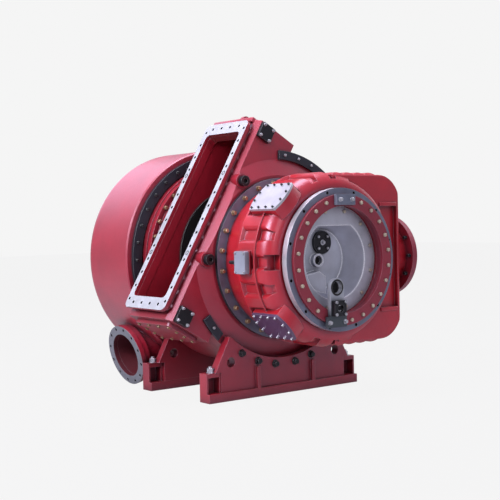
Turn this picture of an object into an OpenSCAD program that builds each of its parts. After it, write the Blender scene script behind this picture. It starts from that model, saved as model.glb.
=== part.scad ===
// Marine turbocharger: gas inlet end at -Y, compressor end at +Y, feet on Z = 0.
// The origin is under the rotor axis, on the base of the front foot.

/* [Machine] */
// Room between the volute drum and the base of the feet
drum_clear = 130; // [100:1:200]
// Slope of the gas outlet above the horizontal, in degrees
outlet_lean = 30.3; // [20:0.1:40]
// Radius of a fastener hole
hole_r = 10; // [6:0.5:14]
// Clearance round a part that is let into another
fit_gap = 2; // [1:0.5:5]
// Joint gap under a part that sits on a sloping face
seat_gap = 0.3; // [0.2:0.1:0.8]

/* [Gas outlet casing] */
// Room between the hub and the clamp strips
strip_gap = 4; // [2:1:10]
// Front wall of the body, behind the middle of the front foot
body_front = 30; // [20:1:60]
// Depth of the body from front to back
body_depth = 500; // [460:1:520]
// Wall thickness of the casting
wall = 22; // [14:1:30]
// Thickness of the casting's back wall
back_wall = 44; // [30:1:60]
// Half height of the outlet box
box_half = 728; // [715:1:760]
// Distance from the rotor axis to where the outlet box starts
box_start = 235; // [180:1:300]
// Distance from the rotor axis to the end face of the outlet box
box_end = 562; // [540:1:580]
// Depth of the bevel between the end face and the front wall
box_bevel = 55; // [40:1:70]
// Lean of that bevel: distance along the outlet for each unit of depth
bevel_lean = 0.38; // [0.3:0.01:0.4]
// Bevel between the end face and the back wall
back_bevel = 24; // [10:1:40]
// How much wider the hub is at its foot than at its front face
hub_flare = 103; // [80:1:115]
// Radius of the hub at its front face
hub_face_r = 545; // [530:1:570]
// Radius of the passage through the hub
hub_bore_r = 400; // [360:1:420]
// Radius of the neck behind the body
rear_neck_r = 590; // [560:1:610]
// Radius of the flange behind the neck
rear_flange_r = 626; // [615:1:634]
// Length of the neck and its flange
rear_neck_len = 110; // [90:1:150]
// Thickness of the rear flange
rear_flange_t = 40; // [25:1:50]
// Radius of the passage through the back wall
rear_bore_r = 440; // [400:1:450]

/* [Gas outlet flange] */
// Distance from the rotor axis to the flange face
outlet_reach = 613; // [590:1:640]
// How far the flange's ends stand back from the ends of the box
oflange_edge = 37; // [20:1:50]
// Width of the flange
oflange_w = 470; // [440:1:500]
// Thickness of the flange
oflange_t = 26; // [18:1:36]
// Width of the flange beyond the ends of the opening
opening_rim = 83; // [75:1:100]
// Width of the opening
opening_w = 374; // [340:1:384]
// Corner radius of the flange
oflange_corner = 40; // [20:1:60]
// Corner radius of the opening
opening_corner = 34; // [15:1:50]
// Pitch of the holes on the short sides
ohole_pitch = 97; // [90:0.5:100]
// First hole of a long side from the end of the flange
ohole_corner = 60.5; // [56:0.5:64]
// Holes on each long side
ohole_long = 14; // [10:2:14]
// Holes on each short side
ohole_short = 4; // [2:2:4]
// Short rows from the end of the flange
ohole_end = 38; // [26:1:50]
// Long rows from the side of the flange
ohole_side = 24; // [18:1:30]
// How far the box neck stands back from the flange edge
oneck_inset = 24; // [10:1:36]

/* [Fittings on the outlet casing] */
// Side of the square covers
sq_cover = 106; // [90:1:108]
// Thickness of the square covers
sq_cover_t = 24; // [12:1:32]
// Corner radius of the square covers
sq_corner = 8; // [4:1:14]
// Square covers from the rotor axis along the outlet
sq_along = 484; // [470:1:488]
// Middle of a square cover from the end of the box
sq_edge = 60; // [56:1:80]
// Radius of the plugs
plug_r = 34; // [26:1:42]
// Height of the plugs
plug_h = 34; // [20:1:46]
// Radius of the raised boss round a plug
boss_r = 48; // [44:1:50]
// Height of the raised boss above the hub face
boss_h = 5; // [3:1:12]
// Plugs from the rotor axis along the outlet
plug_along = 512; // [500:1:516]
// Plugs from the rotor axis across the outlet
plug_across = 284; // [260:1:310]
// Across flats of the plug's hexagon socket
plug_socket = 30; // [20:1:36]
// Width of the clamp strips
strip_w = 58; // [44:1:60]
// Thickness of the clamp strips
strip_t = 16; // [10:1:22]
// Start of the upper strip, in degrees from the right
strip_top = 88; // [80:1:95]
// End of the upper strip, in degrees below the right
strip_low = 40; // [30:1:44]
// Start of the left strip, in degrees from the right
strip_left = 211; // [205:1:218]
// End of the left strip, in degrees from the right
strip_left_end = 225; // [220:1:227]
// Thickness of the plate under the box
belly_t = 26; // [16:1:34]
// Corner radius of the plate under the box
belly_corner = 30; // [16:1:44]
// Length of the plate under the box
belly_len = 250; // [200:1:270]
// Width of the plate under the box
belly_w = 400; // [340:1:420]
// Radius of the heat shield
shield_r = 468; // [455:1:490]
// Thickness of the heat shield
shield_t = 14; // [8:1:20]
// Radius of the shield's cone at the shield
cone_r = 330; // [280:1:380]
// Radius of the shield's cone at its nose
nose_r = 190; // [150:1:240]
// Length of the shield's cone
cone_len = 300; // [220:1:340]
// Radius of the lifting eye
eye_r = 36; // [28:1:44]
// Radius of the hole in the lifting eye
eye_hole_r = 18; // [12:1:20]
// Thickness of the lifting eye
eye_t = 26; // [18:1:34]
// Radius of the lifting eye's base
eye_base_r = 42; // [38:1:56]
// Height of the lifting eye's base
eye_base_h = 16; // [12:1:24]
// Depth of the lifting eye's shank in its base
eye_root = 6; // [4:1:10]

/* [Gas inlet casing] */
// Distance from the hub face to the front ring face
front_len = 600; // [580:1:620]
// Radius of the spigot that passes the joint ring
spigot_r = 432; // [425:1:440]
// Radius of the joint ring
joint_r = 525; // [515:1:535]
// Thickness of the joint ring
joint_t = 24; // [16:1:32]
// Radius of the casing in the valleys between the ridges
valley_r = 521; // [514:1:526]
// Width of a ridge
ridge_w = 106; // [90:1:120]
// Rounding of a ridge's long edges
ridge_edge = 30; // [16:1:40]
// Height of the ridges above the valleys
ridge_h = 23; // [18:1:26]
// Angle of the first ridge above and below the middle of the left side
ridge_first = 9; // [8:0.5:12]
// Angle from one ridge to the next
ridge_step = 18; // [16:0.5:20]
// Ridges above and below the middle of the left side
ridge_each = 6; // [4:1:6]
// Radius of the casing's cone where it leaves the joint ring
waist_r = 459; // [445:1:466]
// Ridge ends nearest the joint ring, from the hub face
ridge_back = 255; // [240:1:280]
// Rim behind the ridges
ridge_rim = 12; // [8:1:20]
// Gap between the ridges' front and the front ring
front_step = 12; // [8:1:20]
// How far the valleys' front stands behind the ridges' front
valley_step = 10; // [6:1:20]
// Rounding of the casing's front shoulder
shoulder_r = 88; // [60:1:94]
// Half height of the pocket in the shoulder
pocket_half = 46; // [36:1:50]
// Depth of the pocket in the shoulder
pocket_w = 48; // [30:1:60]
// Thickness of the rib between the oval covers
rib_t = 12; // [8:1:18]
// Height of that rib above the ridges
rib_h = 8; // [4:1:14]
// Distance from the rotor axis to the right face
right_face = 588; // [575:1:600]
// Half height of the right part between the ridges
right_half = 526; // [518:1:532]
// Front face of the right part behind the front ring's face
right_drop = 76; // [66:1:90]
// Back face of the right part, from the hub face
right_back = 84; // [70:1:100]
// Corner radius of the right part
right_corner = 190; // [150:1:196]
// Edge rounding of the right part
right_edge = 44; // [25:1:60]
// Depth of the panel sunk in its front
panel_depth = 30; // [15:1:40]
// Half height of the panel
panel_half = 326; // [300:1:350]
// Width of the bar right of the panel
panel_bar = 30; // [20:1:44]
// Left edge of the panel
panel_left = 400; // [390:1:440]
// Pitch of the ridges on the right part
top_pitch = 92; // [88:1:98]
// Radius of a ridge on the right part
top_ridge_r = 80; // [70:1:100]
// Height of the ridges on the right part
top_ridge_h = 14; // [10:1:20]
// Ridges on the top and bottom of the right part
top_ridges = 4; // [3:1:4]
// First of those ridges right of the axis
top_first = 50; // [40:1:60]
// Radius of the gas inlet neck
inlet_neck_r = 205; // [195:1:225]
// Radius of the gas inlet flange
inlet_flange_r = 266; // [255:1:280]
// Thickness of the gas inlet flange
inlet_flange_t = 40; // [28:1:50]
// Distance from the rotor axis to the gas inlet face
inlet_reach = 700; // [680:1:740]
// Gas inlet axis, from the hub face
inlet_along = 302; // [296:1:310]
// Radius of the gas inlet bore
inlet_bore_r = 150; // [130:1:165]
// Depth of the gas inlet bore into the casing
inlet_bore_len = 260; // [220:1:300]
// Radius of the gas inlet bolt circle
inlet_pcd_r = 236; // [230:1:242]
// Holes in the gas inlet flange
inlet_holes = 12; // [8:1:16]

/* [Fittings on the inlet casing] */
// Length of an oval cover round the casing
oval_len = 212; // [200:1:230]
// Width of an oval cover along the axis, at its ends
oval_end_w = 230; // [210:1:240]
// How far each side of an oval cover bulges
oval_bulge = 26; // [14:1:32]
// Thickness of an oval cover
oval_t = 16; // [10:1:24]
// Height of an oval cover's seat above the valleys
oval_rise = 35; // [27:1:41]
// Oval covers behind the ridges' front
oval_drop = 118; // [112:1:140]
// Angle of the oval covers above and below the middle of the left side
oval_angle = 43.5; // [42:0.5:48]
// Width of the sensor box along the axis
sensor_w = 104; // [90:1:112]
// Height of the sensor box
sensor_h = 136; // [110:1:140]
// Thickness of the sensor box
sensor_t = 32; // [30:1:50]
// Sensor box from the hub face
sensor_along = 338; // [330:1:350]
// Rim of the sensor box's seat
sensor_rim = 5; // [3:1:10]
// Radius of the cable gland at the sensor box
gland_r = 15; // [12:1:15]
// Radius of the cable gland at its end
gland_end_r = 11; // [8:1:12]
// Length of the cable gland
gland_len = 62; // [40:1:70]

/* [Front rings and bearing cover] */
// Radius of the front flange ring
front_r = 440; // [432:1:448]
// Thickness of the front flange ring
front_t = 40; // [30:1:48]
// Radius of the recess inside the front flange ring
recess_r = 337; // [333:1:342]
// Radius of the tapped holes' circle in the front ring
front_pcd_r = 421; // [418:1:424]
// Radius of the cover ring
cover_r = 402; // [395:1:408]
// Radius of the cover ring's bore
cover_bore_r = 328; // [320:1:330]
// Thickness of the cover ring
cover_t = 23; // [16:1:30]
// Front of the bearing cover behind the front ring face
dish_drop = 60; // [50:1:70]
// Thickness of the bearing cover's rim
dish_rim_t = 30; // [20:1:36]
// Radius of the dish at its mouth
dish_mouth_r = 248; // [240:1:256]
// Radius of the dish at its floor
dish_floor_r = 186; // [175:1:195]
// Depth of the dish
dish_depth = 140; // [120:1:150]
// Wall of the dish
dish_wall = 20; // [14:1:26]
// Height of the flat across the top of the dish
dish_flat = 208; // [200:1:220]
// Radius of the round oil plate
oil_r = 72; // [60:1:76]
// Thickness of the oil plate
oil_t = 18; // [10:1:26]
// Oil plate right of the axis
oil_x = 6; // [0:1:15]
// Oil plate above the axis
oil_z = 104; // [100:1:108]
// Radius of the oil port
port_r = 42; // [36:1:44]
// Radius of the oil port's hole
port_hole_r = 30; // [24:1:32]
// Height of the oil port
port_h = 34; // [22:1:44]
// Oil port left of the axis
port_x = 42; // [36:1:50]
// Oil port below the axis
port_z = 6; // [4:1:20]
// Height of the wedge block
wedge_h = 60; // [40:1:80]
// Left end of the wedge block's top below the axis
wedge_left = 104; // [96:1:120]
// Ridge of the wedge block's top below the axis
wedge_ridge = 72; // [64:1:80]
// Ridge of the wedge block's top left of the axis
wedge_mid = 60; // [50:1:70]
// Right end of the wedge block left of the axis
wedge_end = 10; // [0:1:20]
// Width of the brackets
bracket_w = 152; // [140:1:160]
// Height of the top bracket
bracket_h = 66; // [56:1:76]
// Thickness of the brackets
bracket_t = 25; // [18:1:32]
// Bottom of the top bracket above the axis
bracket_low = 334; // [330:1:340]
// Sensor bracket left of the axis
arm_x = 88; // [80:1:96]
// Width of the sensor bracket
arm_w = 112; // [100:1:120]
// Height of the pipe eye below the axis
arm_eye = 164; // [155:1:172]
// Radius of the hole in the pipe eye
arm_hole_r = 38; // [28:1:42]
// Bottom of the sensor bracket below the axis
arm_low = 405; // [400:1:412]
// Side of the connector block
plug_box = 96; // [80:1:100]
// Thickness of the connector block
plug_box_t = 30; // [20:1:44]
// Connector block below the axis
plug_box_z = 288; // [280:1:296]

/* [Compressor end] */
// Radius of the bearing casing disc
bearing_r = 634; // [628:1:638]
// Thickness of the bearing casing disc
bearing_t = 60; // [50:1:70]
// Inner radius of the clamp ring
clamp_in_r = 642; // [640:1:650]
// Outer radius of the clamp ring
clamp_out_r = 712; // [704:1:720]
// Thickness of the clamp ring
clamp_t = 22; // [16:1:26]
// Radius of the volute drum
drum_r = 752; // [740:1:764]
// Length of the volute drum
drum_len = 560; // [520:1:600]
// Width of the drum's front chamfer
drum_chamfer = 8; // [4:1:16]
// Rounding of the drum's back edge
drum_round = 90; // [60:1:120]
// Radius of the intake cover
intake_r = 520; // [480:1:560]
// Thickness of the intake cover
intake_t = 36; // [24:1:48]
// Radius of the cover's raised middle
intake_mid_r = 360; // [320:1:400]
// Compressor outlet behind the drum's front
volute_along = 250; // [242:1:262]
// Compressor outlet slope below the horizontal, in degrees
volute_dip = 13.6; // [10:0.1:16]
// Compressor outlet face left of the axis
volute_x = 628; // [620:1:640]
// Compressor outlet face below the axis
volute_z = 668; // [655:1:670]
// Radius of the compressor outlet flange
vflange_r = 212; // [205:1:216]
// Thickness of the compressor outlet flange
vflange_t = 34; // [26:1:44]
// Radius of the compressor outlet neck
vneck_r = 172; // [168:1:176]
// Reach of the compressor outlet neck into the drum
vneck_len = 330; // [300:1:360]
// Radius of the collar behind the outlet flange
vcollar_r = 204; // [196:1:208]
// Thickness of the collar behind the outlet flange
vcollar_t = 40; // [30:1:50]
// Radius of the compressor outlet bore
vbore_r = 152; // [140:1:156]
// Length of the compressor outlet bore
vbore_len = 640; // [560:1:700]
// Radius of the compressor outlet bolt circle
vpcd_r = 190; // [188:1:194]
// Holes in the compressor outlet flange
vholes = 12; // [8:1:16]

/* [Feet] */
// Half width of a foot
foot_half = 626; // [610:1:640]
// Depth of a foot along the axis
foot_depth = 106; // [100:1:120]
// Thickness of the sole
sole_t = 56; // [40:1:64]
// Thickness of the front foot's plate
plate_t = 62; // [50:1:70]
// Thickness of the rear foot's plate
rear_plate_t = 54; // [44:1:56]
// Half distance between the plate's tips
tip_half = 448; // [440:1:456]
// Tips below the rotor axis
tip_drop = 482; // [470:1:494]
// Half width of the plate at its foot
plate_half = 562; // [556:1:570]
// Shoulders of the plate below the rotor axis
shoulder_drop = 698; // [690:1:710]
// Ear tops below the rotor axis
ear_drop = 700; // [690:1:710]
// Width of an ear
ear_w = 108; // [96:1:116]
// Depth of an ear along the axis
ear_depth = 78; // [66:1:86]
// Wall of an ear
ear_wall = 12; // [10:1:15]
// Thickness of an ear's top
ear_top = 26; // [20:1:34]
// Radius of the lifting holes
lift_r = 32; // [26:1:36]
// Half distance between the lifting holes
lift_half = 440; // [430:1:450]
// Lifting holes below the rotor axis
lift_drop = 642; // [638:1:650]
// Half distance between the gussets
gusset_half = 232; // [200:1:260]
// Thickness of a gusset
gusset_t = 26; // [18:1:34]
// Top of the gussets below the rotor axis
gusset_drop = 686; // [670:1:700]

/* [Hidden] */
$fn = 96;
axis_h = drum_r + drum_clear;
hub_foot_r = hub_face_r + hub_flare;
body_r = hub_foot_r + strip_gap + strip_w;
body_back = body_front + body_depth;
rear_face = body_back + rear_neck_len;
end_wall = wall + 10;
edge_lap = 8;
drum_front = rear_face + bearing_t;
volute_y = drum_front + volute_along;
oflange_len = 2 * (box_half - oflange_edge);
opening_len = oflange_len - 2 * opening_rim;
ohole_long_pitch = (oflange_len - 2 * ohole_corner) / (ohole_long - 1);
sq_across = box_half - sq_edge;
eye_shank = eye_base_h - eye_root;
box_neck_w = oflange_w - 2 * oneck_inset;
box_neck_len = oflange_len - 2 * oneck_inset;
box_shift = 17;
box_mid = -(body_front + body_depth / 2 + box_shift);
crest_r = valley_r + ridge_h;
casing_front = front_len - front_t - front_step;
valley_front = casing_front - valley_step;
right_front = front_len - right_drop;
right_depth = right_front - right_back;
oval_along = casing_front - oval_drop;
oval_reach = valley_r + oval_rise;
dish_face = front_len - dish_drop;
dish_floor = dish_face - dish_depth;
arm_face = front_len + cover_t;
ear_top_z = axis_h - ear_drop;
front_foot_y = -foot_depth / 2;
rear_foot_y = drum_front - clamp_t - rear_plate_t;
seat_root = valley_r - 2 * ridge_h;
shoulder_lip = 8;
ridge_lap = 20;
plug_box_corner = 6;
box_corner = 10;
eps = 1;

// Turns a shape so that its local z runs from the hub face towards the front.
module front() {
    translate([0, 0, axis_h]) rotate([90, 0, 0]) children();
}

// Local x runs along the outlet, local y across it and down.
module duct() {
    front() rotate([0, 0, 180 - outlet_lean]) children();
}

// Local z runs out of the gas inlet on the right side.
module inlet_frame() {
    translate([0, -inlet_along, axis_h]) rotate([0, 90, 0]) children();
}

// Local z runs out of the compressor outlet, with its face at zero.
module volute_frame() {
    translate([-volute_x, volute_y, axis_h - volute_z])
        rotate([0, -90 - volute_dip, 0]) children();
}

// Local z runs out of the casing at an angle round its left side.
module side_frame(angle, along) {
    front() rotate([0, 0, angle]) translate([0, 0, along]) rotate([0, 90, 0]) children();
}

module rounded(w, h, r) {
    square([w - 2 * r, h], center = true);
    square([w, h - 2 * r], center = true);
    for (sx = [-1, 1]) {
        for (sy = [-1, 1]) {
            translate([sx * (w / 2 - r), sy * (h / 2 - r)]) circle(r = r);
        }
    }
}

module ring(outer, inner, h) {
    difference() {
        cylinder(r = outer, h = h);
        translate([0, 0, -eps]) cylinder(r = inner, h = h + 2 * eps);
    }
}

module hole_circle(pcd_r, count, start, r, h) {
    for (i = [0 : count - 1]) {
        rotate([0, 0, start + i * 360 / count])
            translate([pcd_r, 0, -eps]) cylinder(r = r, h = h + 2 * eps, $fn = 24);
    }
}

// Section that cuts the casing along the outlet, from one bevel to the other.
module box_section(start) {
    polygon([[start, -body_back], [box_end - back_bevel, -body_back],
        [box_end, -body_back + back_bevel], [box_end, -body_front - box_bevel],
        [box_end - bevel_lean * (box_bevel + body_front), 0], [start, 0]]);
}

module box_slab(half) {
    translate([0, half, 0]) rotate([90, 0, 0]) linear_extrude(height = 2 * half) children();
}

// The casing's outside before its fittings.
module outlet_body() {
    intersection() {
        union() {
            translate([0, 0, -body_back]) cylinder(r = body_r, h = body_depth);
            translate([box_start, -box_half, -body_back])
                cube([box_end, 2 * box_half, body_depth]);
            translate([0, 0, -body_front])
                cylinder(r1 = hub_foot_r, r2 = hub_face_r, h = body_front);
        }
        box_slab(box_half + eps) box_section(-body_r - eps);
    }
}

// The hollow inside the casing.
module outlet_hollow() {
    intersection() {
        union() {
            translate([0, 0, -body_back + back_wall])
                cylinder(r = body_r - wall, h = body_depth - wall - back_wall);
            translate([box_start + wall, -box_half + wall, -body_back + back_wall])
                cube([box_end, 2 * (box_half - wall), body_depth - wall - back_wall]);
        }
        translate([-body_r, -box_half, -body_back])
            cube([body_r + box_end - end_wall, 2 * box_half, body_depth]);
    }
}

module gas_outlet_casing() {
    color([0.50, 0.13, 0.19]) duct() difference() {
        union() {
            outlet_body();
            translate([box_end - eps, 0, box_mid]) rotate([0, 90, 0])
                linear_extrude(height = outlet_reach - oflange_t - seat_gap - box_end + eps)
                    rounded(box_neck_w, box_neck_len, oflange_corner - oneck_inset);
            for (s = [-1, 1]) {
                translate([plug_along, s * plug_across, -body_front - 2 * wall])
                    cylinder(r = boss_r, h = body_front + 2 * wall + boss_h);
            }
            translate([0, 0, -rear_face])
                cylinder(r = rear_neck_r, h = rear_neck_len + eps);
            translate([0, 0, -rear_face]) cylinder(r = rear_flange_r, h = rear_flange_t);
        }
        outlet_hollow();
        translate([box_start, 0, box_mid]) rotate([0, 90, 0])
            linear_extrude(height = outlet_reach) rounded(opening_w, opening_len, opening_corner);
        translate([0, 0, -body_front - wall - eps])
            cylinder(r = hub_bore_r, h = body_front + wall + 2 * eps);
        translate([0, 0, -rear_face - eps])
            cylinder(r = rear_bore_r, h = rear_neck_len + back_wall + 2 * eps);
    }
}

module gas_outlet_flange() {
    color([0.90, 0.90, 0.90]) duct() translate([outlet_reach - oflange_t, 0, box_mid])
        rotate([0, 90, 0]) difference() {
            linear_extrude(height = oflange_t) difference() {
                rounded(oflange_w, oflange_len, oflange_corner);
                rounded(opening_w, opening_len, opening_corner);
            }
            for (s = [-1, 1]) {
                for (i = [0 : ohole_long - 1]) {
                    translate([s * (oflange_w / 2 - ohole_side),
                        (i - (ohole_long - 1) / 2) * ohole_long_pitch, -eps])
                        cylinder(r = hole_r, h = oflange_t + 2 * eps, $fn = 24);
                }
                for (i = [0 : ohole_short - 1]) {
                    translate([(i - (ohole_short - 1) / 2) * ohole_pitch,
                        s * (oflange_len / 2 - ohole_end), -eps])
                        cylinder(r = hole_r, h = oflange_t + 2 * eps, $fn = 24);
                }
            }
        }
}

module belly_plate() {
    color([0.50, 0.13, 0.19]) duct()
        translate([(box_start + box_end) / 2, box_half + belly_t + seat_gap, box_mid + box_shift])
            rotate([90, 0, 0]) linear_extrude(height = belly_t) rounded(belly_len, belly_w, belly_corner);
}

module square_cover(side) {
    duct() translate([sq_along, side * sq_across, -body_front])
        linear_extrude(height = sq_cover_t) rounded(sq_cover, sq_cover, sq_corner);
}

module square_cover_upper() {
    color([0.15, 0.16, 0.19]) square_cover(-1);
}

module square_cover_lower() {
    color([0.15, 0.16, 0.19]) square_cover(1);
}

module duct_plug(side) {
    duct() translate([plug_along, side * plug_across, boss_h]) difference() {
        cylinder(r = plug_r, h = plug_h);
        translate([0, 0, plug_h / 2])
            cylinder(r = plug_socket / 2 / cos(30), h = plug_h, $fn = 6);
    }
}

module plug_upper() {
    color([0.15, 0.16, 0.19]) duct_plug(-1);
}

module plug_lower() {
    color([0.15, 0.16, 0.19]) duct_plug(1);
}

module strip(start, sweep) {
    front() rotate([0, 0, start]) translate([0, 0, -body_front])
        rotate_extrude(angle = sweep) translate([body_r - strip_w, 0]) square([strip_w, strip_t]);
}

module clamp_strip_upper() {
    color([0.18, 0.20, 0.24]) strip(-strip_low, strip_low + strip_top);
}

module clamp_strip_lower() {
    color([0.18, 0.20, 0.24]) strip(strip_left, strip_left_end - strip_left);
}

module heat_shield() {
    color([0.06, 0.06, 0.07]) front() translate([0, 0, -body_back + back_wall])
        rotate_extrude() polygon([[0, 0], [shield_r, 0], [shield_r, shield_t],
            [cone_r, shield_t], [nose_r, cone_len], [0, cone_len]]);
}

module lifting_eye() {
    color([0.45, 0.14, 0.20]) duct()
        translate([box_end - back_bevel - eye_base_r, -box_half - seat_gap, box_mid]) rotate([90, 0, 0]) {
            cylinder(r = eye_base_r, h = eye_base_h);
            difference() {
                union() {
                    translate([-eye_r, -eye_t / 2, eye_shank]) cube([2 * eye_r, eye_t, eye_r]);
                    translate([0, eye_t / 2, eye_shank + eye_r]) rotate([90, 0, 0])
                        cylinder(r = eye_r, h = eye_t);
                }
                translate([0, eye_t, eye_shank + eye_r]) rotate([90, 0, 0])
                    cylinder(r = eye_hole_r, h = 2 * eye_t);
            }
        }
}

module joint_ring() {
    color([0.40, 0.40, 0.48]) front() ring(joint_r, spigot_r + fit_gap, joint_t);
}

// Section of the round casing: spigot, cone, rim and the shoulder of the valleys.
module casing_section() {
    square([spigot_r, front_len - front_t]);
    polygon([[0, joint_t], [waist_r, joint_t], [crest_r, ridge_back],
        [crest_r, ridge_back + ridge_rim], [valley_r, ridge_back + 2 * ridge_rim],
        [valley_r, valley_front - shoulder_r], [valley_r - shoulder_r, valley_front],
        [0, valley_front]]);
    translate([valley_r - shoulder_r, valley_front - shoulder_r]) circle(r = shoulder_r);
}

// Space the ridges may fill: crest radius with a rounded front end.
module ridge_section() {
    square([crest_r - shoulder_r, casing_front]);
    translate([0, ridge_back]) square([crest_r, casing_front - shoulder_r - ridge_back]);
    translate([crest_r - shoulder_r, casing_front - shoulder_r]) circle(r = shoulder_r);
}

// The ridges above and below the left side, joined by a core.
module ridges() {
    for (s = [-1, 1]) {
        for (i = [0 : ridge_each - 1]) {
            rotate([0, 0, 180 + s * (ridge_first + i * ridge_step)])
                translate([crest_r - 2 * ridge_w, 0]) rounded(4 * ridge_w, ridge_w, ridge_edge);
        }
    }
    circle(r = valley_r - ridge_h);
}

// Thin rib round the left side, from one oval cover to the other.
module cover_rib() {
    front() rotate([0, 0, 180 - oval_angle]) rotate_extrude(angle = 2 * oval_angle)
        translate([valley_r - ridge_h, oval_along - rib_t / 2])
            square([2 * ridge_h + rib_h, rib_t]);
}

module right_outline() {
    translate([right_face / 2, 0]) square([right_face, 2 * (right_half - right_corner)], center = true);
    translate([(right_face - right_corner) / 2, 0])
        square([right_face - right_corner, 2 * right_half], center = true);
    for (s = [-1, 1]) {
        translate([right_face - right_corner, s * (right_half - right_corner)])
            circle(r = right_corner);
        for (i = [0 : top_ridges - 1]) {
            translate([top_first + i * top_pitch, s * (right_half + top_ridge_h - top_ridge_r)])
                circle(r = top_ridge_r);
        }
    }
}

module right_part() {
    intersection() {
        translate([0, 0, right_front - right_depth])
            linear_extrude(height = right_depth) right_outline();
        translate([0, 0, right_front - right_depth / 2]) rotate([0, 90, 0])
            linear_extrude(height = right_face + eps)
                rounded(right_depth + edge_lap, 2 * (right_half + top_ridge_h) + edge_lap, right_edge);
        translate([right_face / 2 - right_edge + edge_lap / 2, right_half + 2 * top_ridge_h,
            right_front - right_depth / 2])
            rotate([90, 0, 0]) linear_extrude(height = 2 * right_half + 4 * top_ridge_h)
                rounded(right_face + 2 * right_edge + edge_lap, right_depth + edge_lap, right_edge);
    }
}

// A plate with straight ends and two bulging sides.
module oval_outline() {
    arc_r = (oval_len * oval_len / 4 + oval_bulge * oval_bulge) / (2 * oval_bulge);
    intersection() {
        square([oval_end_w + 2 * oval_bulge, oval_len], center = true);
        translate([oval_end_w / 2 + oval_bulge - arc_r, 0]) circle(r = arc_r);
        translate([arc_r - oval_end_w / 2 - oval_bulge, 0]) circle(r = arc_r);
    }
}

module gas_inlet_casing() {
    color([0.80, 0.10, 0.13]) difference() {
        union() {
            front() rotate_extrude() casing_section();
            front() intersection() {
                rotate_extrude() ridge_section();
                translate([0, 0, ridge_back - ridge_lap])
                    linear_extrude(height = casing_front) ridges();
            }
            front() right_part();
            for (s = [-1, 1]) {
                side_frame(180 + s * oval_angle, oval_along) translate([0, 0, seat_root])
                    linear_extrude(height = oval_reach - seat_root) oval_outline();
            }
            cover_rib();
            side_frame(180, sensor_along) translate([0, 0, seat_root])
                linear_extrude(height = oval_reach - seat_root)
                    rounded(sensor_w + 2 * sensor_rim, sensor_h + 2 * sensor_rim, box_corner);
            inlet_frame() translate([0, 0, right_face - right_edge])
                cylinder(r = inlet_neck_r, h = inlet_reach - inlet_flange_t - right_face + right_edge);
        }
        front() translate([0, 0, dish_face - dish_rim_t])
            cylinder(r = recess_r, h = front_len);
        front() translate([0, 0, dish_floor - dish_wall])
            cylinder(r = dish_mouth_r + dish_wall + fit_gap, h = front_len);
        front() translate([panel_left, -panel_half, right_front - panel_depth])
            cube([right_face - panel_bar - panel_left, 2 * panel_half, 2 * panel_depth]);
        inlet_frame() translate([0, 0, inlet_reach - inlet_flange_t - inlet_bore_len])
            cylinder(r = inlet_bore_r, h = inlet_bore_len + eps);
        front() translate([-crest_r, -pocket_half, casing_front - pocket_w])
            cube([crest_r - front_r - shoulder_lip, 2 * pocket_half, pocket_w + eps]);
    }
}

module gas_inlet_flange() {
    color([0.72, 0.10, 0.15]) inlet_frame() translate([0, 0, inlet_reach - inlet_flange_t])
        difference() {
            ring(inlet_flange_r, inlet_bore_r, inlet_flange_t);
            hole_circle(inlet_pcd_r, inlet_holes, 0, hole_r, inlet_flange_t);
        }
}

module oval_cover(angle) {
    side_frame(angle, oval_along) translate([0, 0, oval_reach + seat_gap])
        linear_extrude(height = oval_t) oval_outline();
}

module oval_cover_upper() {
    color([0.88, 0.88, 0.91]) oval_cover(180 - oval_angle);
}

module oval_cover_lower() {
    color([0.28, 0.22, 0.32]) oval_cover(180 + oval_angle);
}

module sensor_box() {
    color([0.62, 0.65, 0.72]) side_frame(180, sensor_along) translate([0, 0, oval_reach])
        linear_extrude(height = sensor_t) rounded(sensor_w, sensor_h, box_corner);
}

module cable_gland() {
    color([0.10, 0.10, 0.12]) side_frame(180, sensor_along)
        translate([sensor_w / 2, 0, oval_reach + sensor_t / 2]) rotate([0, 90, 0])
            cylinder(r1 = gland_r, r2 = gland_end_r, h = gland_len);
}

module front_flange_ring() {
    color([0.55, 0.56, 0.62]) front() translate([0, 0, front_len - front_t]) difference() {
        ring(front_r, recess_r, front_t);
        hole_circle(front_pcd_r, 12, 15, hole_r, front_t);
    }
}

module cover_ring() {
    color([0.62, 0.11, 0.17]) front() translate([0, 0, front_len])
        ring(cover_r, cover_bore_r, cover_t);
}

module wedge_block() {
    intersection() {
        cylinder(r1 = dish_floor_r + eps,
            r2 = dish_floor_r + eps + (dish_mouth_r - dish_floor_r) * wedge_h / dish_depth, h = wedge_h);
        linear_extrude(height = wedge_h)
            polygon([[-dish_mouth_r, -wedge_left], [-wedge_mid, -wedge_ridge], [-wedge_end, -wedge_left],
                [-wedge_end, -dish_mouth_r], [-dish_mouth_r, -dish_mouth_r]]);
    }
}

module bearing_cover() {
    color([0.58, 0.60, 0.67]) front() difference() {
        union() {
            translate([0, 0, dish_face - dish_rim_t])
                cylinder(r = recess_r - fit_gap, h = dish_rim_t);
            translate([0, 0, dish_floor - dish_wall])
                cylinder(r = dish_mouth_r + dish_wall, h = dish_depth);
        }
        difference() {
            translate([0, 0, dish_floor])
                cylinder(r1 = dish_floor_r, r2 = dish_mouth_r, h = dish_depth);
            translate([-dish_mouth_r, dish_flat, 0]) cube([2 * dish_mouth_r, dish_mouth_r, front_len]);
            translate([-port_x, -port_z, dish_floor - eps]) cylinder(r = port_r, h = port_h);
            translate([0, 0, dish_floor - eps]) wedge_block();
        }
        translate([-port_x, -port_z, dish_floor + eps])
            cylinder(r = port_hole_r, h = port_h + eps);
    }
}

module oil_plate() {
    color([0.10, 0.10, 0.12]) front() translate([oil_x, oil_z, dish_floor])
        cylinder(r = oil_r, h = oil_t);
}

module top_bracket() {
    color([0.42, 0.43, 0.49]) front() translate([-bracket_w / 2, bracket_low, arm_face])
        cube([bracket_w, bracket_h, bracket_t]);
}

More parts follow.
